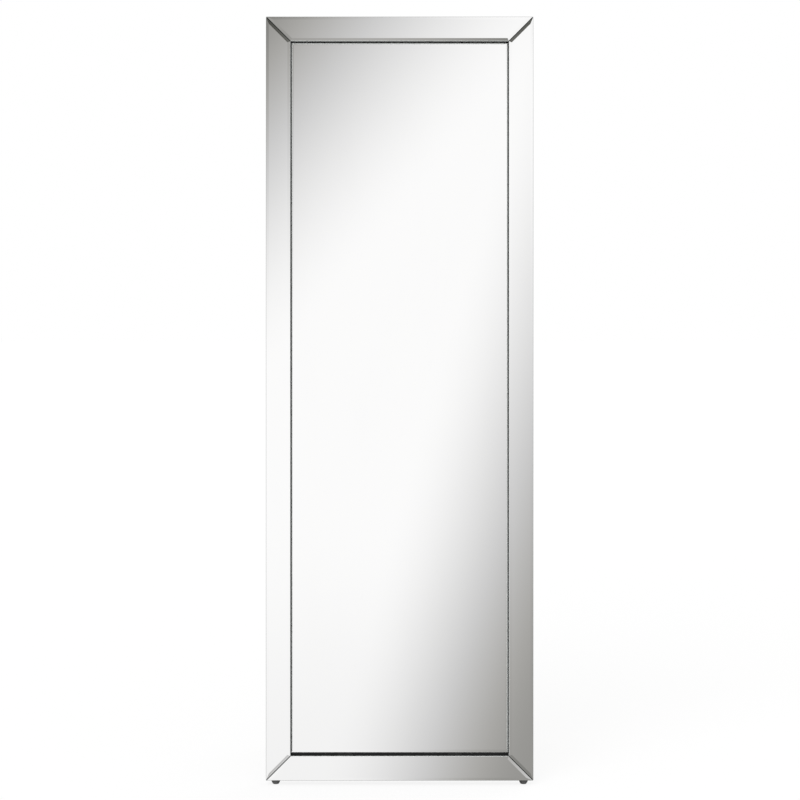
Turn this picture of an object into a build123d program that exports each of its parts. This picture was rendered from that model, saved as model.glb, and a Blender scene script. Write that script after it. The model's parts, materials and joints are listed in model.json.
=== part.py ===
from build123d import *
from math import cos, radians, sin, sqrt, tan
import os

# A floor mirror that stands on its own: a bevelled centre mirror set back in a frame
# of four bevelled, mitred mirror strips, on a timber frame with an easel stand behind.
# Millimetres, +Z up, the glass faces -Y and leans back. The origin is on the floor,
# at the middle of the footprint. Left and right are as seen by someone facing the glass.

# Mirror face
mirror_width = 560
mirror_height = 1600
strip_width = 51
glass_thickness = 5
bevel_width = 6
bevel_drop = 1.2
arris = 0.5
mitre_gap = 0.8
mirror_recess = 10
side_gap = 0.8
head_gap = 1.5
sill_gap = 6.5
mirror_corner_cut = 2

# How far the glass leans back, and how far the open stand swings out from its back
lean_angle = 8
stand_angle = 15.5

# Timber frame behind the strips
glass_overhang = 1
lip_setback = 0.5
rebate_width = 12
panel_thickness = 9
panel_clearance = 0.5
frame_round = 1.5
spline_length = 30
spline_width = 24
spline_thickness = 3
spline_depth = 3
spline_from_corner = 32

# Tapes and blocks that hold the glass
tape_thickness = 1
tape_width = 12
strip_tape_margin = 8
tape_end_margin = 12
mirror_tape_count = 6
mirror_tape_pitch = 72
mirror_tape_margin = 50
block_length = 30
block_spacing = 230
block_setback = 0.5

# Feet under the frame and pads under the stand
foot_from_edge = 20
foot_height = 9
foot_top_radius = 8.5
foot_sole_radius = 6
pad_height = 8
pad_radius = 9
sole_trim = 2

# Hinge batten across the back
hinge_height = 1150
batten_length = 536
batten_height = 60
batten_thickness = 20
wood_round = 2
knuckle_relief = 7

# Butt hinges
hinge_spacing = 230
leaf_length = 50
leaf_width = 15
leaf_thickness = 1.6
leaf_gap = 0.3
leaf_screw_pitch = 30
knuckle_radius = 3
knuckle_count = 3
knuckle_gap = 0.4
pin_radius = 1.5
pin_clearance = 0.05
pivot_standoff = 4
fold_clearance = 0.5
screw_length = 16
screw_shank = 1.4
screw_head = 2.8
screw_clearance = 0.1
pilot_extra = 0.6

# Stand
stand_thickness = 20
head_rail_length = 300
head_rail_height = 70
leg_width = 45
leg_head_spacing = 230
leg_foot_spacing = 370
stretcher_height = 45
stretcher_drop = 880
tenon_length = 30
tenon_width = 29
tenon_thickness = 8
leg_trim = 20

# Clearance round splines and tenons
fit_gap = 0.1

# Depths behind the front of the glass
frame_front = glass_thickness + tape_thickness
panel_front = mirror_recess + glass_thickness + tape_thickness
frame_back = panel_front + panel_thickness
foot_depth = (frame_front + frame_back) / 2
batten_back = frame_back + batten_thickness
pivot_depth = frame_back + pivot_standoff
leaf_screw_depth = pivot_depth + (knuckle_radius + leaf_width) / 2

# Sizes in the plane of the glass
opening_width = mirror_width - 2 * strip_width
lip_edge = strip_width - lip_setback
rebate_edge = lip_edge - rebate_width
leaf_face = leaf_gap / 2
batten_bottom = hinge_height + leaf_face + leaf_thickness
batten_middle = batten_bottom + batten_height / 2
stand_front = pivot_standoff - fold_clearance
stand_rear = stand_thickness - stand_front
stand_middle = stand_thickness / 2 - stand_front

# Where the leaning glass stands: its soles touch the floor and the footprint is centred
lean_sin = sin(radians(lean_angle))
lean_cos = cos(radians(lean_angle))
stand_slope = stand_angle - lean_angle
slope_sin = sin(radians(stand_slope))
slope_cos = cos(radians(stand_slope))
face_z = (foot_height - glass_overhang) * lean_cos + foot_depth * lean_sin
pivot_z = face_z + hinge_height * lean_cos - pivot_depth * lean_sin
pivot_from_face = hinge_height * lean_sin + pivot_depth * lean_cos
stand_drop = pivot_z + stand_rear * slope_sin - pad_height
footprint_back = pivot_from_face + stand_drop * slope_sin / slope_cos + stand_rear * slope_cos
footprint_front = bevel_width * lean_sin
face_y = -(footprint_front + footprint_back) / 2

# Face plane: X across, Y up the glass, Z out of its front
face = Plane(origin=(0, face_y, face_z), x_dir=(1, 0, 0), z_dir=(0, -lean_cos, lean_sin))
# Side section of the mirror: X is the depth behind the glass, Y up the glass
section = Plane(origin=face.origin, x_dir=(0, lean_cos, -lean_sin), z_dir=(1, 0, 0))
up_glass = face.y_dir
front_axis = Axis(face.origin, face.z_dir)

# Stand plane: origin on the hinge line, Y up the stand, Z out of its front
pivot = face.from_local_coords((0, hinge_height, -pivot_depth))
stand = Plane(origin=pivot, x_dir=(1, 0, 0), z_dir=(0, -slope_cos, -slope_sin))
# Side section of the stand: X is the depth behind the hinge line, Y up the stand
stand_section = Plane(origin=pivot, x_dir=(0, slope_cos, slope_sin), z_dir=(1, 0, 0))


def placed(plane, x, y, z=0, turn=(0, 0, 0)):
    """The plane moved and turned in its own axes."""
    return Plane(plane.location * Location((x, y, z), turn))


# The four sides of the frame: the middle of each outer edge, with Y pointing inwards
half_width = mirror_width / 2
half_height = mirror_height / 2
side_planes = {
    "bottom": placed(face, 0, 0),
    "top": placed(face, 0, mirror_height, 0, (0, 0, 180)),
    "left": placed(face, -half_width, half_height, 0, (0, 0, -90)),
    "right": placed(face, half_width, half_height, 0, (0, 0, 90)),
}
side_lengths = {
    "bottom": mirror_width,
    "top": mirror_width,
    "left": mirror_height,
    "right": mirror_height,
}
member_names = {
    "bottom": "bottom_rail",
    "top": "top_rail",
    "left": "left_stile",
    "right": "right_stile",
}

# Under the bottom rail, looking down: where the feet hang
foot_planes = {
    name: Plane(
        origin=face.from_local_coords((end * (half_width - foot_from_edge), glass_overhang, -foot_depth)),
        x_dir=(1, 0, 0),
        z_dir=-up_glass,
    )
    for name, end in (("left", -1), ("right", 1))
}

os.makedirs("parts", exist_ok=True)


def keep(piece, name):
    """Labels a finished piece and writes it."""
    piece.part.label = name
    export_step(piece.part, f"parts/{name}.step")


def mitred_corners(length, outer, inner, shortening=0):
    """Corners of a bar along one side of the frame, its ends cut at 45 degrees."""
    outer_half = length / 2 - outer - shortening
    inner_half = length / 2 - inner - shortening
    return [(-outer_half, outer), (outer_half, outer), (inner_half, inner), (-inner_half, inner)]


def bevel_glass(glass):
    """A wide shallow bevel all round the front of a glass, then a small arris on its rim."""
    front = glass.faces().sort_by(front_axis)[-1]
    chamfer(front.edges(), length=bevel_width, length2=bevel_drop, reference=front)
    bevel_rim = glass.edges().group_by(front_axis)[-3]
    chamfer(bevel_rim, length=arris)


# Four mirror strips
for side, plane in side_planes.items():
    with BuildPart() as mirror_strip:
        with BuildSketch(plane.offset(-glass_thickness)):
            corners = mitred_corners(side_lengths[side], 0, strip_width, mitre_gap / sqrt(2))
            Polygon(*corners, align=None)
        extrude(amount=glass_thickness)
        bevel_glass(mirror_strip)
    keep(mirror_strip, f"{side}_mirror_strip")

# Centre mirror, set back in the opening
mirror_bottom = strip_width + sill_gap
mirror_top = mirror_height - strip_width - head_gap
centre_mirror_width = opening_width - 2 * side_gap
centre_mirror_height = mirror_top - mirror_bottom
mirror_middle = (mirror_bottom + mirror_top) / 2
mirror_back = mirror_recess + glass_thickness

with BuildPart() as centre_mirror:
    with BuildSketch(face.offset(-mirror_back)):
        with Locations((0, mirror_middle)):
            Rectangle(centre_mirror_width, centre_mirror_height)
    extrude(amount=glass_thickness)
    bevel_glass(centre_mirror)
    # Sharp corners nipped off
    with BuildSketch(face.offset(-mirror_back)):
        with Locations((0, mirror_middle)):
            with GridLocations(centre_mirror_width, centre_mirror_height, 2, 2):
                Rectangle(mirror_corner_cut * sqrt(2), mirror_corner_cut * sqrt(2), rotation=45)
    extrude(amount=glass_thickness, mode=Mode.SUBTRACT)
keep(centre_mirror, "centre_mirror")

# Frame members: full width in front, rebated behind for the back panel
spline_inset = glass_overhang + spline_from_corner / sqrt(2)
spline_front = frame_front + spline_depth

for side, plane in side_planes.items():
    length = side_lengths[side]
    with BuildPart() as member:
        with BuildSketch(plane.offset(-panel_front)):
            Polygon(*mitred_corners(length, glass_overhang, lip_edge), align=None)
        extrude(amount=panel_front - frame_front)
        with BuildSketch(plane.offset(-frame_back)):
            Polygon(*mitred_corners(length, glass_overhang, rebate_edge), align=None)
        extrude(amount=panel_thickness)
        # Soft back corner along the outside
        along_edges = member.edges().filter_by(Axis(plane.origin, plane.x_dir))
        back_edges = along_edges.group_by(front_axis)[0]
        fillet(back_edges.sort_by(Axis(plane.origin, plane.y_dir))[0], radius=frame_round)
        # A slot across each mitre for its loose spline
        with BuildSketch(plane.offset(-spline_front - spline_thickness - fit_gap)):
            for end, turn in ((-1, 45), (1, 135)):
                with Locations((end * (length / 2 - spline_inset), spline_inset)):
                    slot_length = spline_length + 2 * fit_gap
                    Rectangle(slot_length, spline_width + 2 * fit_gap, rotation=turn)
        extrude(amount=spline_thickness + 2 * fit_gap, mode=Mode.SUBTRACT)
    keep(member, member_names[side])

# Loose splines in the four mitres
with BuildPart() as corner_splines:
    for name in ("bottom", "top"):
        plane = side_planes[name]
        with BuildSketch(plane.offset(-spline_front - spline_thickness)):
            for end, turn in ((-1, 45), (1, 135)):
                with Locations((end * (half_width - spline_inset), spline_inset)):
                    Rectangle(spline_length, spline_width, rotation=turn)
        extrude(amount=spline_thickness)
keep(corner_splines, "corner_splines")

# Double-sided tapes behind the strips, two lines to a side
with BuildPart() as strip_tapes:
    for side, plane in side_planes.items():
        with BuildSketch(plane.offset(-frame_front)):
            for outer in (strip_tape_margin, strip_width - strip_tape_margin - tape_width):
                half_tape = side_lengths[side] / 2 - outer - tape_width - tape_end_margin
                with Locations((0, outer + tape_width / 2)):
                    Rectangle(2 * half_tape, tape_width)
        extrude(amount=tape_thickness)
keep(strip_tapes, "strip_tapes")

# Tapes between the centre mirror and the back panel
with BuildPart() as centre_mirror_tapes:
    with BuildSketch(face.offset(-panel_front)):
        with Locations((0, mirror_middle)):
            with GridLocations(mirror_tape_pitch, 0, mirror_tape_count, 1):
                Rectangle(tape_width, centre_mirror_height - 2 * mirror_tape_margin)
    extrude(amount=tape_thickness)
keep(centre_mirror_tapes, "centre_mirror_tapes")

# Blocks on the sill that carry the weight of the centre mirror
with BuildPart() as setting_blocks:
    with BuildSketch(face.offset(-mirror_back)):
        with Locations((0, (lip_edge + mirror_bottom) / 2)):
            with GridLocations(block_spacing, 0, 2, 1):
                Rectangle(block_length, mirror_bottom - lip_edge)
    extrude(amount=glass_thickness - block_setback)
keep(setting_blocks, "setting_blocks")

# Back panel, flush in the rebate
panel_edge = rebate_edge + panel_clearance

with BuildPart() as back_panel:
    with BuildSketch(face.offset(-frame_back)):
        with Locations((0, half_height)):
            Rectangle(mirror_width - 2 * panel_edge, mirror_height - 2 * panel_edge)
    extrude(amount=panel_thickness)
keep(back_panel, "back_panel")


def leaf_screw_spots(side, lift):
    """The planes of the hinge screws at a distance above (1) or below (-1) the hinge line."""
    spots = []
    for hinge in (-1, 1):
        for row in (-1, 1):
            x = (hinge * hinge_spacing + row * leaf_screw_pitch) / 2
            origin = face.from_local_coords((x, hinge_height + side * lift, -leaf_screw_depth))
            spots.append(Plane(origin=origin, x_dir=(1, 0, 0), z_dir=up_glass * -side))
    return spots


def pilot_hole():
    """The blind hole in the wood for the rest of a hinge screw."""
    Hole(radius=screw_shank + screw_clearance, depth=screw_length - leaf_thickness + pilot_extra)


# Batten across the back: it carries the hinges and stops the open stand
with BuildPart() as hinge_batten:
    with BuildSketch(section) as batten_profile:
        with Locations(((frame_back + batten_back) / 2, batten_middle)):
            Rectangle(batten_thickness, batten_height)
        fillet(batten_profile.vertices().group_by(Axis.X)[-1], radius=wood_round)
        knuckle_corner = batten_profile.vertices().group_by(Axis.X)[0].sort_by(Axis.Y)[0]
        chamfer(knuckle_corner, length=knuckle_relief)
    extrude(amount=batten_length / 2, both=True)
    with Locations(*leaf_screw_spots(1, leaf_face + leaf_thickness)):
        pilot_hole()
keep(hinge_batten, "hinge_batten")


def hinge_leaf(centre, side, first_knuckle):
    """A hinge leaf, fixed above the hinge line (1) or swinging below it (-1)."""
    pitch = leaf_length / knuckle_count
    plate_front = pivot_depth + knuckle_radius + leaf_gap
    plate_back = pivot_depth + leaf_width
    plate_middle = hinge_height + side * (leaf_face + leaf_thickness / 2)
    with BuildPart() as leaf:
        with BuildSketch(section.offset(centre - leaf_length / 2)):
            with Locations(((plate_front + plate_back) / 2, plate_middle)):
                Rectangle(plate_back - plate_front, leaf_thickness)
        extrude(amount=leaf_length)
        for number in range(first_knuckle, knuckle_count, 2):
            start = centre - leaf_length / 2 + number * pitch + knuckle_gap / 2
            with BuildSketch(section.offset(start)):
                with Locations((pivot_depth, hinge_height)):
                    Circle(knuckle_radius)
                with Locations(((pivot_depth + plate_front) / 2, plate_middle)):
                    Rectangle(plate_front - pivot_depth, leaf_thickness)
            extrude(amount=pitch - knuckle_gap)
        with BuildSketch(section.offset(centre - leaf_length)):
            with Locations((pivot_depth, hinge_height)):
                Circle(pin_radius + pin_clearance)
        extrude(amount=2 * leaf_length, mode=Mode.SUBTRACT)
        with Locations(*leaf_screw_spots(side, leaf_face)):
            CounterSinkHole(
                radius=screw_shank + screw_clearance,
                counter_sink_radius=screw_head + screw_clearance,
                depth=leaf_thickness + pilot_extra,
                counter_sink_angle=90,
            )
    return leaf


def hinge_pin(centre):
    """A hinge pin that ends flush with the outer knuckles."""
    with BuildPart() as pin:
        with BuildSketch(section.offset(centre - leaf_length / 2)):
            with Locations((pivot_depth, hinge_height)):
                Circle(pin_radius)
        extrude(amount=leaf_length)
    return pin


# Two butt hinges that close flat on each other when the stand is open
for name, end in (("left", -1), ("right", 1)):
    hinge_centre = end * hinge_spacing / 2
    keep(hinge_leaf(hinge_centre, 1, 0), f"{name}_hinge_fixed_leaf")
    keep(hinge_leaf(hinge_centre, -1, 1), f"{name}_hinge_moving_leaf")
    keep(hinge_pin(hinge_centre), f"{name}_hinge_pin")

# Their countersunk screws
with BuildPart() as hinge_screw:
    with BuildSketch(Plane.XZ):
        Polygon(
            (0, 0),
            (screw_head, 0),
            (screw_shank, screw_shank - screw_head),
            (screw_shank, -screw_length),
            (0, -screw_length),
            align=None,
        )
    revolve(axis=Axis.Z)

for name, side in (("fixed_leaf_screws", 1), ("moving_leaf_screws", -1)):
    with BuildPart() as leaf_screws:
        with Locations(*leaf_screw_spots(side, leaf_face)):
            add(hinge_screw.part)
    keep(leaf_screws, name)


def stand_top(depth):
    """Height of the head rail's slanted top in the stand, at a depth behind the hinge line."""
    rise = leaf_face + leaf_thickness + depth * sin(radians(stand_angle))
    return -rise / cos(radians(stand_angle))


def leg_middle(height):
    """Distance of a leg's middle line from the stand's, at a height in the stand."""
    splay = (leg_foot_spacing - leg_head_spacing) / 2 / (-pad_line - head_rail_height)
    return leg_head_spacing / 2 - splay * (height + head_rail_height)


def head_tenon(end, gap=0, mode=Mode.ADD):
    """A leg's tenon in the head rail, or with a gap and Mode.SUBTRACT its mortise."""
    with Locations(placed(stand, end * leg_head_spacing / 2, -head_rail_height, -stand_middle)):
        Box(tenon_width + 2 * gap, 2 * (tenon_length + gap), tenon_thickness + 2 * gap, mode=mode)


def stretcher_tenons(gap=0, mode=Mode.ADD):
    """The stretcher's tenons in the legs, or with a gap and Mode.SUBTRACT their mortises."""
    reach = leg_middle(-stretcher_drop) - leg_width / 2 + tenon_length
    with Locations(placed(stand, 0, -stretcher_drop, -stand_middle)):
        Box(2 * (reach + gap), tenon_width + 2 * gap, tenon_thickness + 2 * gap, mode=mode)


# Height in the stand at which a leg's middle meets the top of its pad
pad_line = (pad_height - pivot_z - stand_middle * slope_sin) / slope_cos

# Head rail, its slanted top parallel to the batten above it when the stand is open
with BuildPart() as stand_head_rail:
    with BuildSketch(stand_section) as head_profile:
        Polygon(
            (-stand_front, stand_top(-stand_front)),
            (-stand_front, -head_rail_height),
            (stand_rear, -head_rail_height),
            (stand_rear, stand_top(stand_rear)),
            align=None,
        )
        rear_corner = head_profile.vertices().group_by(Axis.X)[-1].sort_by(Axis.Y)[-1]
        fillet(rear_corner, radius=wood_round)
        front_corner = head_profile.vertices().group_by(Axis.X)[0].sort_by(Axis.Y)[-1]
        chamfer(front_corner, length=knuckle_relief)
    extrude(amount=head_rail_length / 2, both=True)
    with Locations(*leaf_screw_spots(-1, leaf_face + leaf_thickness)):
        pilot_hole()
    for end in (-1, 1):
        head_tenon(end, fit_gap, Mode.SUBTRACT)
keep(stand_head_rail, "stand_head_rail")

# Legs, splayed towards the floor and cut level on their pads
leg_end = pad_line - leg_trim
pad_planes = {
    name: Plane(
        origin=stand.from_local_coords((end * leg_middle(pad_line), pad_line, -stand_middle)),
        x_dir=(1, 0, 0),
        z_dir=(0, 0, -1),
    )
    for name, end in (("left", -1), ("right", 1))
}

for name, end in (("left", -1), ("right", 1)):
    top_middle = end * leg_middle(-head_rail_height)
    end_middle = end * leg_middle(leg_end)
    with BuildPart() as leg:
        with BuildSketch(stand.offset(-stand_rear)):
            Polygon(
                (top_middle - leg_width / 2, -head_rail_height),
                (end_middle - leg_width / 2, leg_end),
                (end_middle + leg_width / 2, leg_end),
                (top_middle + leg_width / 2, -head_rail_height),
                align=None,
            )
        extrude(amount=stand_thickness)
        fillet(leg.edges().sort_by(SortBy.LENGTH)[-4:], radius=wood_round)
        split(bisect_by=Plane.XY.offset(pad_height), keep=Keep.TOP)
        head_tenon(end)
        stretcher_tenons(fit_gap, Mode.SUBTRACT)
    keep(leg, f"{name}_leg")

# Stretcher between the legs
stretcher_top = -stretcher_drop + stretcher_height / 2
stretcher_bottom = -stretcher_drop - stretcher_height / 2
top_reach = leg_middle(stretcher_top) - leg_width / 2
bottom_reach = leg_middle(stretcher_bottom) - leg_width / 2

with BuildPart() as stand_stretcher:
    with BuildSketch(stand.offset(-stand_rear)):
        Polygon(
            (-top_reach, stretcher_top),
            (-bottom_reach, stretcher_bottom),
            (bottom_reach, stretcher_bottom),
            (top_reach, stretcher_top),
            align=None,
        )
    extrude(amount=stand_thickness)
    fillet(stand_stretcher.edges().filter_by(Axis.X), radius=wood_round)
    stretcher_tenons()
keep(stand_stretcher, "stand_stretcher")

# Feet under the bottom rail, tapered and cut level where they meet the floor
sole_depth = foot_height + sole_trim
foot_taper = (foot_top_radius - foot_sole_radius) / foot_height
trimmed_radius = foot_top_radius - foot_taper * sole_depth

for name, plane in foot_planes.items():
    with BuildPart() as foot:
        with Locations(plane):
            Cone(
                bottom_radius=foot_top_radius,
                top_radius=trimmed_radius,
                height=sole_depth,
                align=(Align.CENTER, Align.CENTER, Align.MIN),
            )
        split(bisect_by=Plane.XY, keep=Keep.TOP)
    keep(foot, f"{name}_foot")

# Pads under the legs
for name, plane in pad_planes.items():
    with BuildPart() as pad:
        with BuildSketch(plane):
            Circle(pad_radius)
        extrude(amount=pad_height)
    keep(pad, f"{name}_leg_pad")
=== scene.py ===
import json
from math import atan, cos, pi, radians, sin, tan

import bmesh
import bpy
from mathutils import Matrix, Vector
from mathutils.geometry import tessellate_polygon


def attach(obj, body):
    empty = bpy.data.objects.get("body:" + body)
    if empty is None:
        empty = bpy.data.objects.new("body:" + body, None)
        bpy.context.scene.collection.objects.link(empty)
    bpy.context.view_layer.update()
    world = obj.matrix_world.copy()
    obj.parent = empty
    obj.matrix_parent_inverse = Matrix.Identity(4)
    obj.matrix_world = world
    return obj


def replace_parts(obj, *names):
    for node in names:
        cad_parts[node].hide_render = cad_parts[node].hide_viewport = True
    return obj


# A floor mirror: its looks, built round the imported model. Metres, +Z up, the glass faces -Y.

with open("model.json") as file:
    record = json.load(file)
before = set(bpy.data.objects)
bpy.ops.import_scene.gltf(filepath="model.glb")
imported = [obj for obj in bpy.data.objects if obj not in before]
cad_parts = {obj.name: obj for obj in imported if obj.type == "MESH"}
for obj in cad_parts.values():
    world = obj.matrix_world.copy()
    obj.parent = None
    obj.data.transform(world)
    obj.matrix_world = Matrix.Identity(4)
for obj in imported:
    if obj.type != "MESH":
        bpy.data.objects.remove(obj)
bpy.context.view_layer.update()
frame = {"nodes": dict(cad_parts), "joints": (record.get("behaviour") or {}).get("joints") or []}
nodes = frame["nodes"]

# Sizes that the part's source gives too
lean = radians(8)
bevel_width = 0.006
bevel_drop = 0.0012
lip_edge = 0.0505
rebate_edge = 0.0385
hinge_spacing = 0.230
leaf_screw_pitch = 0.030
leaf_screw_reach = 0.009
leaf_face = 0.00015
stand_slope = radians(7.5)
leg_splay = atan(70 / 1071)

# Directions: across and up the glass, out of its front, and up the stand
across = Vector((1, 0, 0))
up_glass = Vector((0, sin(lean), cos(lean)))
front = Vector((0, -cos(lean), sin(lean)))
up_stand = Vector((0, -sin(stand_slope), cos(stand_slope)))

# Camera, as the photograph was taken: square to the glass, from a few metres
photo_size = 800
photo_scale = 2.094 / 1000
photo_centre = (399.65, 398.6)
camera_distance = 4.8
sensor_width = 36

# Light
world_level = 0.7
key_strength = 1.1
fill_strength = 0.8
softness = radians(40)

# The studio that the glass reflects, in radians across and up from straight in front of it.
# It repeats at the angle by which a bevel turns its reflection, so a bevel shows the greys beside it.
bevel_turn = 2 * atan(bevel_drop / bevel_width)
mitre_turn = bevel_turn * cos(radians(45))

# Two large grey flags with soft edges: the way each one darkens, where its edge begins and ends,
# and the share of light that it leaves
upper_left_flag = (radians(140), 0.05, 0.19, 0.14)
lower_right_flag = (radians(-16), 0.01, 0.10, 0.34)

# The low part of the studio is a little greyer
low_grey = 0.92
low_start = -0.05
low_end = -0.17

# Small dark cards, each where one bevel alone shows it: centre, half size and the light that it takes
strip_card = ((0.1, -0.24), (0.2, 0.06), 0.9)
mitre_card_size = (0.06, 0.06)
upper_mitre_darkness = 0.75
lower_mitre_darkness = 0.4

# Where the flags and cards fade out into a plain studio, and that studio's light, low and high
fade_aside = (0.48, 0.56)
fade_above = (0.60, 0.68)
plain_heights = (-0.5, 0.6)
plain_light = (0.55, 0.97)


def reach(node, direction):
    """Lowest and highest place of a node's corners along a direction."""
    places = [vertex.co.dot(direction) for vertex in nodes[node].data.vertices]
    return min(places), max(places)


# The face of the mirror, from the frame
glass_front = reach("top_mirror_strip", front)[1]
glass_bottom = reach("bottom_mirror_strip", up_glass)[0]
glass_top = reach("top_mirror_strip", up_glass)[1]
half_width = reach("right_mirror_strip", across)[1]
panel_back = reach("back_panel", front)[0]
batten_back = reach("hinge_batten", front)[0]
batten_middle = sum(reach("hinge_batten", up_glass)) / 2
face_height = glass_top - glass_bottom
face_centre = up_glass * (glass_bottom + glass_top) / 2 + front * glass_front
hinge_line = Vector(frame["joints"][0]["pos_m"])


class Nodes:
    """Adds nodes to a tree, with values or other nodes' sockets as their inputs."""

    def __init__(self, tree):
        self.tree = tree

    def add(self, kind, inputs=None, **settings):
        node = self.tree.nodes.new(kind)
        for name, value in settings.items():
            setattr(node, name, value)
        for name, value in (inputs or {}).items():
            if isinstance(value, bpy.types.NodeSocket):
                self.tree.links.new(value, node.inputs[name])
            else:
                node.inputs[name].default_value = value
        return node

    def math(self, operation, first, second=0.0):
        """The result of one sum."""
        return self.add("ShaderNodeMath", {0: first, 1: second}, operation=operation).outputs[0]

    def dot(self, vector, direction):
        """How far a vector reaches along a fixed direction."""
        inputs = {0: vector, 1: tuple(direction)}
        return self.add("ShaderNodeVectorMath", inputs, operation="DOT_PRODUCT").outputs["Value"]

    def span(self, value, low, high, to_low, to_high, smooth=False):
        """A value carried from one range to another, and held at its ends."""
        inputs = {"Value": value, "From Min": low, "From Max": high, "To Min": to_low, "To Max": to_high}
        kind = "SMOOTHSTEP" if smooth else "LINEAR"
        return self.add("ShaderNodeMapRange", inputs, interpolation_type=kind).outputs[0]

    def noise(self, vector, scale, detail=3.0, roughness=0.5):
        """Fractal noise from 0 to 1."""
        inputs = {"Vector": vector, "Scale": scale, "Detail": detail, "Roughness": roughness}
        return self.add("ShaderNodeTexNoise", inputs).outputs["Fac"]

    def ramp(self, value, *stops):
        """A colour ramp: each stop is a place and a colour."""
        node = self.add("ShaderNodeValToRGB", {"Fac": value})
        elements = node.color_ramp.elements
        while len(elements) < len(stops):
            elements.new(0.5)
        for element, (place, colour) in zip(elements, stops):
            element.position = place
            element.color = (*colour, 1)
        return node.outputs["Color"]

    def bump(self, height, distance):
        """A normal that follows a height of 0 to 1, which rises by a distance in metres."""
        inputs = {"Height": height, "Distance": distance, "Strength": 1.0}
        return self.add("ShaderNodeBump", inputs).outputs["Normal"]


def new_material(name):
    """An empty node material, its nodes helper and its object coordinates."""
    material = bpy.data.materials.new(name)
    material.use_nodes = True
    material.node_tree.nodes.clear()
    tree = Nodes(material.node_tree)
    place = tree.add("ShaderNodeTexCoord").outputs["Object"]
    return material, tree, place


def finish_material(material, tree, inputs):
    """Gives a material one shader with these inputs."""
    shader = tree.add("ShaderNodeBsdfPrincipled", inputs)
    tree.add("ShaderNodeOutputMaterial", {"Surface": shader.outputs[0]})
    return material


def grain_frame(tree, place, along, sideways):
    """Coordinates with X along the grain."""
    depth = along.cross(sideways)
    parts = [tree.dot(place, axis) for axis in (along, sideways, depth)]
    return tree.add("ShaderNodeCombineXYZ", {"X": parts[0], "Y": parts[1], "Z": parts[2]}).outputs[0]


def stretched(tree, vector, scale, shift=(0, 0, 0)):
    """Coordinates scaled along each axis and moved."""
    inputs = {"Vector": vector, "Scale": scale, "Location": shift}
    return tree.add("ShaderNodeMapping", inputs).outputs[0]


# Materials


def silvered_glass():
    """Polished silvered glass: clean, with the faintest wipe marks."""
    material, tree, place = new_material("silvered_glass")
    wipes = tree.noise(stretched(tree, place, (9, 9, 2.5)), 1.0, 4.0, 0.6)
    dust = tree.noise(place, 420.0, 2.0)
    haze = tree.math("MULTIPLY", tree.span(wipes, 0.5, 0.75, 0.0, 1.0), tree.span(dust, 0.45, 0.7, 0.3, 1.0))
    colour = tree.ramp(haze, (0.0, (0.967, 0.965, 0.964)), (1.0, (0.952, 0.950, 0.949)))
    inputs = {
        "Base Color": colour,
        "Metallic": 1.0,
        "Roughness": tree.span(haze, 0.0, 1.0, 0.0, 0.03),
    }
    return finish_material(material, tree, inputs)


def ground_glass_edge(name, dark, light):
    """The seamed edge of a sheet of glass, finely ground, with a green tint. How light or dark it is comes
    from the caller, as painted light or painted shade.
    """
    material, tree, place = new_material(name)
    grit = tree.noise(place, 1800.0, 2.0)
    streaks = tree.noise(stretched(tree, place, (40, 40, 40)), 1.0, 4.0)
    colour = tree.ramp(streaks, (0.3, dark), (0.7, light))
    inputs = {
        "Base Color": colour,
        "Roughness": tree.span(grit, 0.3, 0.7, 0.22, 0.42),
        "Normal": tree.bump(grit, 0.00001),
    }
    return finish_material(material, tree, inputs)


def mirror_back_paint():
    """The protective grey paint behind the silver."""
    material, tree, place = new_material("mirror_back_paint")
    runs = tree.noise(stretched(tree, place, (30, 30, 6)), 1.0, 3.0)
    inputs = {
        "Base Color": tree.ramp(runs, (0.3, (0.13, 0.14, 0.15)), (0.7, (0.17, 0.18, 0.19))),
        "Roughness": tree.span(runs, 0.3, 0.7, 0.45, 0.6),
    }
    return finish_material(material, tree, inputs)


def black_paint():
    """Satin black paint on fibreboard, with a fine orange peel and a little dust."""
    material, tree, place = new_material("black_paint")
    peel = tree.noise(place, 900.0, 2.0)
    patches = tree.noise(place, 14.0, 4.0, 0.6)
    dust = tree.noise(place, 2600.0, 1.0)
    grains = tree.span(dust, 0.66, 0.74, 0.0, 1.0)
    specks = tree.math("MULTIPLY", grains, tree.span(patches, 0.4, 0.7, 0.0, 1.0))
    inputs = {
        "Base Color": tree.ramp(specks, (0.0, (0.010, 0.010, 0.011)), (1.0, (0.032, 0.032, 0.032))),
        "Roughness": tree.span(patches, 0.3, 0.7, 0.36, 0.5),
        "Normal": tree.bump(peel, 0.000025),
    }
    return finish_material(material, tree, inputs)


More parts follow.
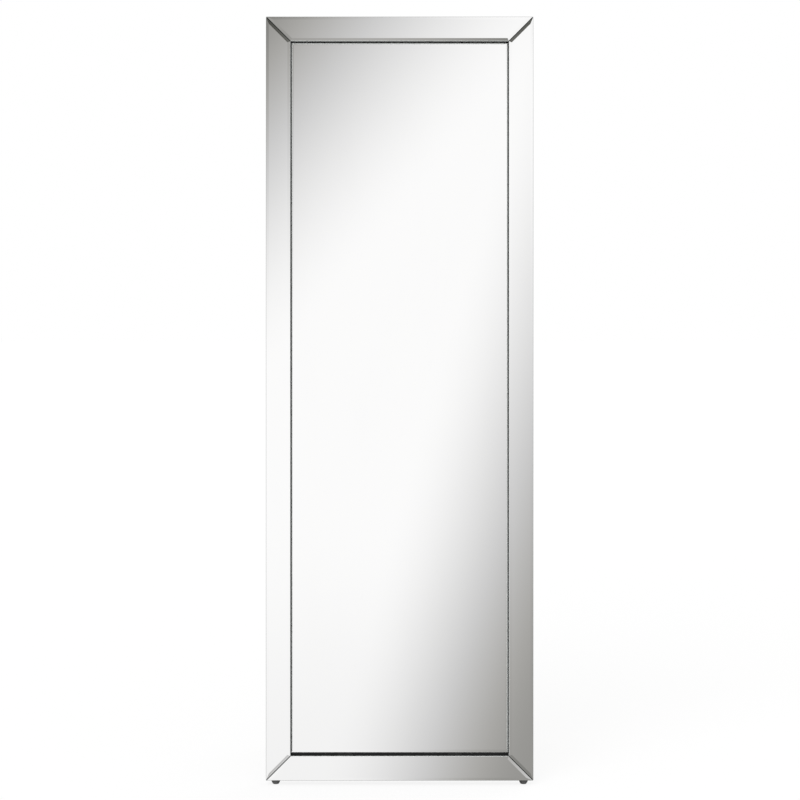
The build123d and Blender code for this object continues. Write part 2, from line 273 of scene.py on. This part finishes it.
def fibreboard():
    """Plain pressed fibreboard: brown, speckled with short pale and dark fibres."""
    material, tree, place = new_material("fibreboard")
    warped = tree.add("ShaderNodeTexNoise", {"Vector": place, "Scale": 260.0, "Detail": 2.0}).outputs["Color"]
    bend = 0.005
    bent_inputs = {0: warped, 1: (bend, bend, bend)}
    bent = tree.add("ShaderNodeVectorMath", bent_inputs, operation="MULTIPLY").outputs[0]
    fibre_place = tree.add("ShaderNodeVectorMath", {0: place, 1: bent}, operation="ADD").outputs[0]
    long_fibres = tree.noise(stretched(tree, fibre_place, (330, 330, 1300)), 1.0, 3.0, 0.65)
    cross_fibres = tree.noise(stretched(tree, fibre_place, (1300, 330, 330)), 1.0, 3.0, 0.65)
    half_long = tree.math("MULTIPLY", long_fibres, 0.5)
    half_cross = tree.math("MULTIPLY", cross_fibres, 0.5)
    fibres = tree.math("ADD", half_long, half_cross)
    clouds = tree.noise(place, 5.0, 4.0, 0.6)
    mixed = tree.math("ADD", tree.math("MULTIPLY", fibres, 0.8), tree.math("MULTIPLY", clouds, 0.2))
    colour = tree.ramp(
        mixed,
        (0.34, (0.18, 0.115, 0.066)),
        (0.46, (0.29, 0.198, 0.122)),
        (0.56, (0.35, 0.248, 0.158)),
        (0.68, (0.47, 0.36, 0.25)),
    )
    inputs = {
        "Base Color": colour,
        "Roughness": tree.span(fibres, 0.35, 0.65, 0.7, 0.88),
        "Normal": tree.bump(fibres, 0.00012),
    }
    return finish_material(material, tree, inputs)


def stained_wood(name, along, sideways, ring_shift):
    """Pine stained black, satin: grain along a piece, rings on its ends."""
    material, tree, place = new_material(name)
    grain_place = grain_frame(tree, place, along, sideways)
    wander = tree.noise(stretched(tree, grain_place, (3, 22, 22)), 1.0, 3.0)
    inputs = {
        "Vector": stretched(tree, grain_place, (3, 42, 42), ring_shift),
        "Scale": 1.0,
        "Distortion": tree.math("MULTIPLY", wander, 6.0),
        "Detail": 3.0,
        "Detail Scale": 2.5,
    }
    rings = tree.add("ShaderNodeTexWave", inputs, wave_type="RINGS", rings_direction="X").outputs["Fac"]
    streaks = tree.noise(stretched(tree, grain_place, (7, 330, 330)), 1.0, 5.0, 0.65)
    pores = tree.noise(stretched(tree, grain_place, (60, 1700, 1700)), 1.0, 3.0, 0.7)
    grain = tree.math("ADD", tree.math("MULTIPLY", rings, 0.12), tree.math("MULTIPLY", streaks, 0.38))
    figure = tree.math("ADD", grain, tree.math("MULTIPLY", pores, 0.5))
    colour = tree.ramp(
        figure,
        (0.30, (0.012, 0.010, 0.009)),
        (0.50, (0.024, 0.020, 0.018)),
        (0.70, (0.050, 0.042, 0.036)),
    )
    shader = {
        "Base Color": colour,
        "Roughness": tree.span(figure, 0.3, 0.7, 0.55, 0.42),
        "Normal": tree.bump(pores, 0.00006),
    }
    return finish_material(material, tree, shader)


def plain_beech():
    """Bare beech, for the splines inside the mitres."""
    material, tree, place = new_material("plain_beech")
    flecks = tree.noise(stretched(tree, place, (90, 900, 900)), 1.0, 3.0, 0.6)
    inputs = {
        "Base Color": tree.ramp(flecks, (0.35, (0.46, 0.30, 0.17)), (0.65, (0.64, 0.46, 0.29))),
        "Roughness": tree.span(flecks, 0.3, 0.7, 0.5, 0.7),
    }
    return finish_material(material, tree, inputs)


def foam_tape():
    """White foam tape with open cells on its edges."""
    material, tree, place = new_material("foam_tape")
    cells = tree.add("ShaderNodeTexVoronoi", {"Vector": place, "Scale": 2600.0}).outputs["Distance"]
    inputs = {
        "Base Color": tree.ramp(cells, (0.1, (0.60, 0.60, 0.58)), (0.6, (0.82, 0.82, 0.80))),
        "Roughness": 0.85,
        "Normal": tree.bump(cells, 0.0001),
    }
    return finish_material(material, tree, inputs)


def rubber(name, dark, light):
    """Matt rubber with a moulded grain."""
    material, tree, place = new_material(name)
    grain = tree.noise(place, 1500.0, 3.0, 0.6)
    bloom = tree.noise(place, 90.0, 3.0)
    inputs = {
        "Base Color": tree.ramp(bloom, (0.35, dark), (0.65, light)),
        "Roughness": tree.span(grain, 0.3, 0.7, 0.62, 0.8),
        "Normal": tree.bump(grain, 0.00008),
    }
    return finish_material(material, tree, inputs)


def zinc_steel(name, stretch):
    """Zinc-plated steel, brushed one way, with the plating's faint clouds."""
    material, tree, place = new_material(name)
    brush = tree.noise(stretched(tree, place, stretch), 1.0, 3.0, 0.7)
    clouds = tree.noise(place, 120.0, 3.0)
    inputs = {
        "Base Color": tree.ramp(clouds, (0.35, (0.60, 0.61, 0.63)), (0.65, (0.68, 0.67, 0.63))),
        "Metallic": 1.0,
        "Roughness": tree.span(brush, 0.25, 0.75, 0.26, 0.42),
        "Normal": tree.bump(brush, 0.00004),
    }
    return finish_material(material, tree, inputs)


mirror_surface = silvered_glass()
# Near-white glass edges round the opening: painted light that lifts the shade inside the recess where the
# bevels reflect them
opening_edge_painted_light = ground_glass_edge("opening_glass_edge_painted_light", (0.74, 0.77, 0.75), (0.82, 0.85, 0.83))
# Near-black glass edges on the mitres and outer rim: painted shade for their dark lines
rim_edge_painted_shade = ground_glass_edge("rim_glass_edge_painted_shade", (0.040, 0.048, 0.045), (0.065, 0.076, 0.072))
back_paint = mirror_back_paint()
painted_board = black_paint()
brown_board = fibreboard()
across_wood = stained_wood("stained_wood_across", across, up_glass, (0.0, 5.5, 2.0))


def leg_wood(side, leaning, ring_shift):
    """The wood of a leg, its grain along the splayed leg."""
    along = (up_stand + across * leaning * tan(leg_splay)).normalized()
    sideways = along.cross(up_stand).cross(along).normalized()
    return stained_wood(f"stained_wood_{side}_leg", along, sideways, ring_shift)


left_leg_wood = leg_wood("left", 1, (0.0, 4.0, 6.0))
right_leg_wood = leg_wood("right", -1, (3.0, 7.0, 3.0))
beech = plain_beech()
tape = foam_tape()
black_rubber = rubber("black_rubber", (0.010, 0.010, 0.010), (0.020, 0.020, 0.020))
grey_rubber = rubber("grey_rubber", (0.085, 0.085, 0.084), (0.12, 0.12, 0.118))
plate_steel = zinc_steel("plate_steel", (60, 2500, 2500))
screw_steel = zinc_steel("screw_steel", (900, 900, 900))


def wear(node, *materials):
    """Puts materials on a CAD node's slots."""
    slots = nodes[node].data.materials
    slots.clear()
    for material in materials:
        slots.append(material)


def wear_by_face(node, materials, pick):
    """Puts one of several materials on each face of a CAD node, picked by the face."""
    wear(node, *materials)
    for polygon in nodes[node].data.polygons:
        polygon.material_index = pick(polygon)


def glass_layer(polygon):
    """Silver on the front and its bevels, paint behind. The edges round the opening get a near-white material
    as painted light against the shade of the recess, and the mitres and outer rim a near-black one as painted
    shade.
    """
    mirror_least = 0.9
    back_most = -0.5
    rim_width = 0.001
    diagonal_most = 0.1
    facing = polygon.normal.dot(front)
    if facing > mirror_least:
        return 0
    if facing < back_most:
        return 2
    height = polygon.center.dot(up_glass)
    from_rim = min(half_width - abs(polygon.center.x), glass_top - height, height - glass_bottom)
    mitred = abs(abs(polygon.normal.x) - abs(polygon.normal.dot(up_glass))) < diagonal_most
    # Mitres and the outer rim take the near-black painted shade; the other side edges take the near-white
    # painted light
    return 3 if mitred or from_rim < rim_width else 1


def panel_side(polygon):
    """Brown board, painted black on its front."""
    front_least = 0.5
    return 1 if polygon.normal.dot(front) > front_least else 0


glass_materials = (mirror_surface, opening_edge_painted_light, back_paint, rim_edge_painted_shade)
wear_by_face("centre_mirror", glass_materials, glass_layer)
for side in ("top", "bottom", "left", "right"):
    wear_by_face(f"{side}_mirror_strip", glass_materials, glass_layer)
wear_by_face("back_panel", (brown_board, painted_board), panel_side)
for name in ("top_rail", "bottom_rail", "left_stile", "right_stile"):
    wear(name, painted_board)
for name in ("hinge_batten", "stand_head_rail", "stand_stretcher"):
    wear(name, across_wood)
wear("left_leg", left_leg_wood)
wear("right_leg", right_leg_wood)
wear("corner_splines", beech)
wear("strip_tapes", tape)
wear("centre_mirror_tapes", tape)
wear("setting_blocks", black_rubber)
for name in ("left_foot", "right_foot", "left_leg_pad", "right_leg_pad"):
    wear(name, grey_rubber)
for side in ("left", "right"):
    for piece in ("fixed_leaf", "moving_leaf", "pin"):
        wear(f"{side}_hinge_{piece}", plate_steel)


# Screws, which the CAD leaves to this script or models plainly: radius of head and shank, and length

panel_screw = (0.0034, 0.0014, 0.016)
batten_screw = (0.0042, 0.0019, 0.034)
hinge_screw = (0.0028, 0.0014, 0.016)
head_steps = 40
recess_arm = 0.62
recess_half = 0.13
recess_depth = 0.5
recess_taper = 0.6
rim_share = 0.05
flat_share = 0.97
screw_turn = 37


def add_screw(mesh, size, where):
    """Adds a countersunk screw with a crossed recess, its head's top at the place's origin."""
    head, shank, length = size
    turns = [2 * pi * step / head_steps for step in range(head_steps)]

    def ring(radius, height):
        return [mesh.verts.new(where @ Vector((radius * cos(t), radius * sin(t), height))) for t in turns]

    arm = recess_arm * head
    half = recess_half * head
    corners = [(arm, -half), (arm, half), (half, half), (half, arm), (-half, arm), (-half, half)]
    corners += [(-x, -y) for x, y in corners]
    top = ring(head * flat_share, 0)
    cross_top = [mesh.verts.new(where @ Vector((x, y, 0))) for x, y in corners]
    cross_floor = [
        mesh.verts.new(where @ Vector((x * recess_taper, y * recess_taper, -recess_depth * head)))
        for x, y in corners
    ]
    outline = [Vector((head * cos(t), head * sin(t), 0)) for t in turns]
    hole = [Vector((x, y, 0)) for x, y in corners]
    cap = top + cross_top
    for triangle in tessellate_polygon([outline, hole]):
        mesh.faces.new([cap[index] for index in triangle])
    mesh.faces.new(cross_floor)
    for index, corner in enumerate(cross_top):
        following = (index + 1) % len(cross_top)
        mesh.faces.new((corner, cross_top[following], cross_floor[following], cross_floor[index]))
    profile = [(head, -rim_share * head), (shank, shank - head), (shank, 2 * shank - length)]
    rings = [top] + [ring(radius, height) for radius, height in profile]
    for upper, lower in zip(rings, rings[1:]):
        for index in range(head_steps):
            following = (index + 1) % head_steps
            mesh.faces.new((upper[index], lower[index], lower[following], upper[following]))
    tip = mesh.verts.new(where @ Vector((0, 0, -length)))
    for index in range(head_steps):
        mesh.faces.new((rings[-1][index], tip, rings[-1][(index + 1) % head_steps]))


def finish_piece(mesh, name, material, body):
    """Makes a piece of a mesh, which rides on a body."""
    bmesh.ops.recalc_face_normals(mesh, faces=mesh.faces)
    data = bpy.data.meshes.new(name)
    mesh.to_mesh(data)
    mesh.free()
    data.materials.append(material)
    piece = bpy.data.objects.new(name, data)
    bpy.context.scene.collection.objects.link(piece)
    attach(piece, body)
    return piece


def screws(name, size, spots, body):
    """One piece with a screw at each spot: a place and the way its head faces."""
    mesh = bmesh.new()
    for number, (place, out) in enumerate(spots):
        turn = Matrix.Rotation(radians(screw_turn * number), 4, "Z")
        facing = out.to_track_quat("Z", "Y").to_matrix().to_4x4()
        add_screw(mesh, size, Matrix.Translation(place) @ facing @ turn)
    return finish_piece(mesh, name, screw_steel, body)


def on_face(x, height, depth):
    """A place given across, up from the foot of the glass, and along its facing direction."""
    return across * x + up_glass * (glass_bottom + height) + front * depth


def spread(low, high, count):
    """Evenly spaced values."""
    return [low + (high - low) * step / (count - 1) for step in range(count)]


screw_line = (lip_edge + rebate_edge) / 2
end_screw_height = 0.100
side_screws = 6
end_screw_reach = 0.110
batten_screw_reach = 0.259
batten_screw_rise = 0.015
proud = 0.00015

side_rows = spread(end_screw_height, face_height - end_screw_height, side_screws)
panel_spots = [(x * (half_width - screw_line), height) for x in (-1, 1) for height in side_rows]
panel_spots += [
    (x, height)
    for x in (-end_screw_reach, end_screw_reach)
    for height in (screw_line, face_height - screw_line)
]
screws(
    "back_panel_screws",
    panel_screw,
    [(on_face(x, height, panel_back - proud), -front) for x, height in panel_spots],
    "mirror_frame",
)
batten_spots = [
    across * x + up_glass * (batten_middle + y) + front * (batten_back - proud)
    for x in (-batten_screw_reach, batten_screw_reach)
    for y in (-batten_screw_rise, batten_screw_rise)
]
screws("batten_screws", batten_screw, [(place, -front) for place in batten_spots], "mirror_frame")

for node, body, side in (("fixed_leaf_screws", "mirror_frame", 1), ("moving_leaf_screws", "stand", -1)):
    rows = [hinge * hinge_spacing / 2 + row * leaf_screw_pitch / 2 for hinge in (-1, 1) for row in (-1, 1)]
    line = hinge_line - front * leaf_screw_reach + up_glass * side * leaf_face
    spots = [(line + across * x, up_glass * -side) for x in rows]
    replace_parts(screws(f"{node}_detailed", hinge_screw, spots, body), node)


# Moulded rubber feet and pads: half outlines of radius and depth, from the wood down

foot_outline = (
    (0.0086, 0.0),
    (0.0093, 0.0004),
    (0.0094, 0.0012),
    (0.0092, 0.0026),
    (0.0089, 0.0042),
    (0.0084, 0.0058),
    (0.0076, 0.0072),
    (0.0066, 0.0083),
    (0.0061, 0.0110),
)
pad_outline = (
    (0.0086, 0.0),
    (0.0090, 0.0004),
    (0.0090, 0.0016),
    (0.0084, 0.0022),
    (0.0084, 0.0066),
    (0.0081, 0.0075),
    (0.0073, 0.0080),
)
foot_steps = 56
sharp_from = radians(50)


def moulded_foot(node, body, down, outline):
    """A turned rubber foot in place of a plain one, cut level where it meets the floor."""
    mesh = bmesh.new()
    depth_way = down.cross(across)
    place = across * sum(reach(node, across)) / 2 + depth_way * sum(reach(node, depth_way)) / 2
    place += down * reach(node, down)[0]
    turns = [2 * pi * step / foot_steps for step in range(foot_steps)]
    rings = [
        [
            mesh.verts.new(place + (across * cos(t) + depth_way * sin(t)) * radius + down * depth)
            for t in turns
        ]
        for radius, depth in outline
    ]
    mesh.faces.new(rings[0])
    mesh.faces.new(rings[-1])
    for upper, lower in zip(rings, rings[1:]):
        for index in range(foot_steps):
            following = (index + 1) % foot_steps
            mesh.faces.new((upper[index], lower[index], lower[following], upper[following]))
    everything = mesh.verts[:] + mesh.edges[:] + mesh.faces[:]
    bmesh.ops.bisect_plane(mesh, geom=everything, plane_co=(0, 0, 0), plane_no=(0, 0, -1), clear_outer=True)
    rim = [edge for edge in mesh.edges if edge.is_boundary]
    if rim:
        bmesh.ops.edgeloop_fill(mesh, edges=rim)
    for face in mesh.faces:
        face.smooth = True
    piece = finish_piece(mesh, f"{node}_moulded", grey_rubber, body)
    piece.data.set_sharp_from_angle(angle=sharp_from)
    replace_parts(piece, node)


for side in ("left", "right"):
    moulded_foot(f"{side}_foot", "mirror_frame", -up_glass, foot_outline)
    moulded_foot(f"{side}_leg_pad", "stand", Vector((0, 0, -1)), pad_outline)


# The studio: floor, world, lamps and camera


def studio_floor():
    """A pale floor that keeps the shadow, and that the glass looks through to the studio."""
    half = 8.0
    level = -0.0002
    corners = [(-half, -half, level), (half, -half, level), (half, half, level), (-half, half, level)]
    data = bpy.data.meshes.new("studio_floor")
    data.from_pydata(corners, [], [(0, 1, 2, 3)])
    floor = bpy.data.objects.new("studio_floor", data)
    bpy.context.scene.collection.objects.link(floor)
    material = bpy.data.materials.new("studio_floor")
    material.use_nodes = True
    material.node_tree.nodes.clear()
    tree = Nodes(material.node_tree)
    rays = tree.add("ShaderNodeLightPath")
    lit = tree.add("ShaderNodeBsdfDiffuse", {"Color": (0.95, 0.95, 0.95, 1)})
    white = tree.add("ShaderNodeEmission", {"Color": (1, 1, 1, 1), "Strength": 1.0})
    seen_lift = 0.86
    lift = tree.math("MULTIPLY", rays.outputs["Is Camera Ray"], seen_lift)
    shown = tree.add("ShaderNodeMixShader", {0: lift, 1: lit.outputs[0], 2: white.outputs[0]})
    mirrored = tree.math("MAXIMUM", rays.outputs["Is Glossy Ray"], rays.outputs["Is Transmission Ray"])
    clear = tree.add("ShaderNodeBsdfTransparent")
    ending = tree.add("ShaderNodeMixShader", {0: mirrored, 1: shown.outputs[0], 2: clear.outputs[0]})
    tree.add("ShaderNodeOutputMaterial", {"Surface": ending.outputs[0]})
    data.materials.append(material)


def soft_card(tree, vector, centre, half_size, darkness):
    """The light left by a soft dark card in the studio: 1 away from it."""
    inputs = {"Vector": vector, "Location": (*centre, 0), "Scale": (*half_size, 1)}
    inside = tree.add("ShaderNodeMapping", inputs, vector_type="TEXTURE").outputs[0]
    fade = tree.add("ShaderNodeTexGradient", {"Vector": inside}, gradient_type="SPHERICAL").outputs["Fac"]
    return tree.span(fade, 0.0, 1.0, 1.0, 1.0 - darkness, smooth=True)


def flag(tree, vector, facing, start, end, darkest):
    """The light left by a large flag that darkens one way across the studio."""
    along = tree.dot(vector, (cos(facing), sin(facing), 0))
    return tree.span(along, start, end, 1.0, darkest, smooth=True)


def studio_world():
    """White behind the object, an even light on it, and soft grey cards for the glass to reflect."""
    world = bpy.data.worlds.new("studio")
    world.use_nodes = True
    world.node_tree.nodes.clear()
    tree = Nodes(world.node_tree)
    way = tree.add("ShaderNodeTexCoord").outputs["Generated"]
    ahead = tree.dot(way, front)
    aside = tree.math("ARCTAN2", tree.dot(way, across), ahead)
    above = tree.math("ARCTAN2", tree.dot(way, up_glass), ahead)
    spot = tree.add("ShaderNodeCombineXYZ", {"X": aside, "Y": above}).outputs[0]
    half = bevel_turn / 2
    limits = {0: spot, 1: (half, half, half), 2: (-half, -half, -half)}
    repeated = tree.add("ShaderNodeVectorMath", limits, operation="WRAP").outputs[0]
    low = tree.span(tree.dot(repeated, (0, 1, 0)), low_end, low_start, low_grey, 1.0, smooth=True)
    cards = [low, flag(tree, repeated, *upper_left_flag), flag(tree, repeated, *lower_right_flag)]
    # The dark card low in front, which only the inner bevel of the top strip shows
    cards.append(soft_card(tree, spot, *strip_card))
    # A dark card out along each diagonal, which one mitre bevel shows: the one at that end, on the other side
    corner = (half_width / camera_distance, face_height / 2 / camera_distance)
    for side in (-1, 1):
        for end, darkness in ((-1, lower_mitre_darkness), (1, upper_mitre_darkness)):
            place = (side * (mitre_turn - corner[0]), end * (mitre_turn + corner[1]))
            cards.append(soft_card(tree, spot, place, mitre_card_size, darkness))
    near = cards[0]
    for card in cards[1:]:
        near = tree.math("MULTIPLY", near, card)
    # Outside the part that the glass shows to the photograph's camera the studio is plain
    far = tree.span(tree.dot(way, (0, 0, 1)), *plain_heights, *plain_light, smooth=True)
    wide = tree.span(tree.math("ABSOLUTE", aside), *fade_aside, 1.0, 0.0, smooth=True)
    tall = tree.span(tree.math("ABSOLUTE", above), *fade_above, 1.0, 0.0, smooth=True)
    blend = tree.math("MULTIPLY", wide, tall)
    level = tree.add("ShaderNodeMix", {"Factor": blend, "A": far, "B": near}, data_type="FLOAT").outputs[0]
    shade = tree.ramp(
        level,
        (0.0, (0.0, 0.0, 0.0)),
        (0.10, (0.10, 0.10, 0.09)),
        (0.40, (0.40, 0.395, 0.38)),
        (0.62, (0.62, 0.62, 0.62)),
        (1.0, (1.0, 1.0, 1.0)),
    )
    reflected = tree.add("ShaderNodeBackground", {"Color": shade})
    white = tree.add("ShaderNodeBackground", {"Color": (1, 1, 1, 1), "Strength": 1.0})
    even = tree.add("ShaderNodeBackground", {"Color": (1, 1, 1, 1), "Strength": world_level})
    rays = tree.add("ShaderNodeLightPath").outputs
    mirrored = tree.math("MAXIMUM", rays["Is Glossy Ray"], rays["Is Transmission Ray"])
    lit = tree.add("ShaderNodeMixShader", {0: mirrored, 1: even.outputs[0], 2: reflected.outputs[0]})
    seen = tree.add("ShaderNodeMixShader", {0: rays["Is Camera Ray"], 1: lit.outputs[0], 2: white.outputs[0]})
    tree.add("ShaderNodeOutputWorld", {"Surface": seen.outputs[0]})
    bpy.context.scene.world = world


def lamp(name, source, strength):
    """A very soft lamp far off in one direction, which the glass doesn't show."""
    data = bpy.data.lights.new(name, "SUN")
    data.energy = strength
    data.angle = softness
    light = bpy.data.objects.new(name, data)
    light.rotation_euler = Vector(source).to_track_quat("Z", "Y").to_euler()
    light.visible_glossy = False
    bpy.context.scene.collection.objects.link(light)


def photo_camera():
    """The camera, square to the glass and moved a little across it, as the photograph was framed."""
    data = bpy.data.cameras.new("camera")
    data.sensor_width = sensor_width
    data.lens = sensor_width * camera_distance / (photo_size * photo_scale)
    camera = bpy.data.objects.new("camera", data)
    middle = photo_size / 2
    aside = (middle - photo_centre[0]) * photo_scale
    down = (middle - photo_centre[1]) * photo_scale
    place = face_centre + front * camera_distance + across * aside - up_glass * down
    turn = Matrix((across, up_glass, front)).transposed().to_4x4()
    camera.matrix_world = Matrix.Translation(place) @ turn
    bpy.context.scene.collection.objects.link(camera)
    bpy.context.scene.camera = camera


studio_floor()
studio_world()
lamp("key_lamp", (-0.6, -0.9, 1.1), key_strength)
lamp("fill_lamp", (0.8, 1.0, 0.9), fill_strength)
photo_camera()
bpy.context.scene.view_settings.view_transform = "Standard"
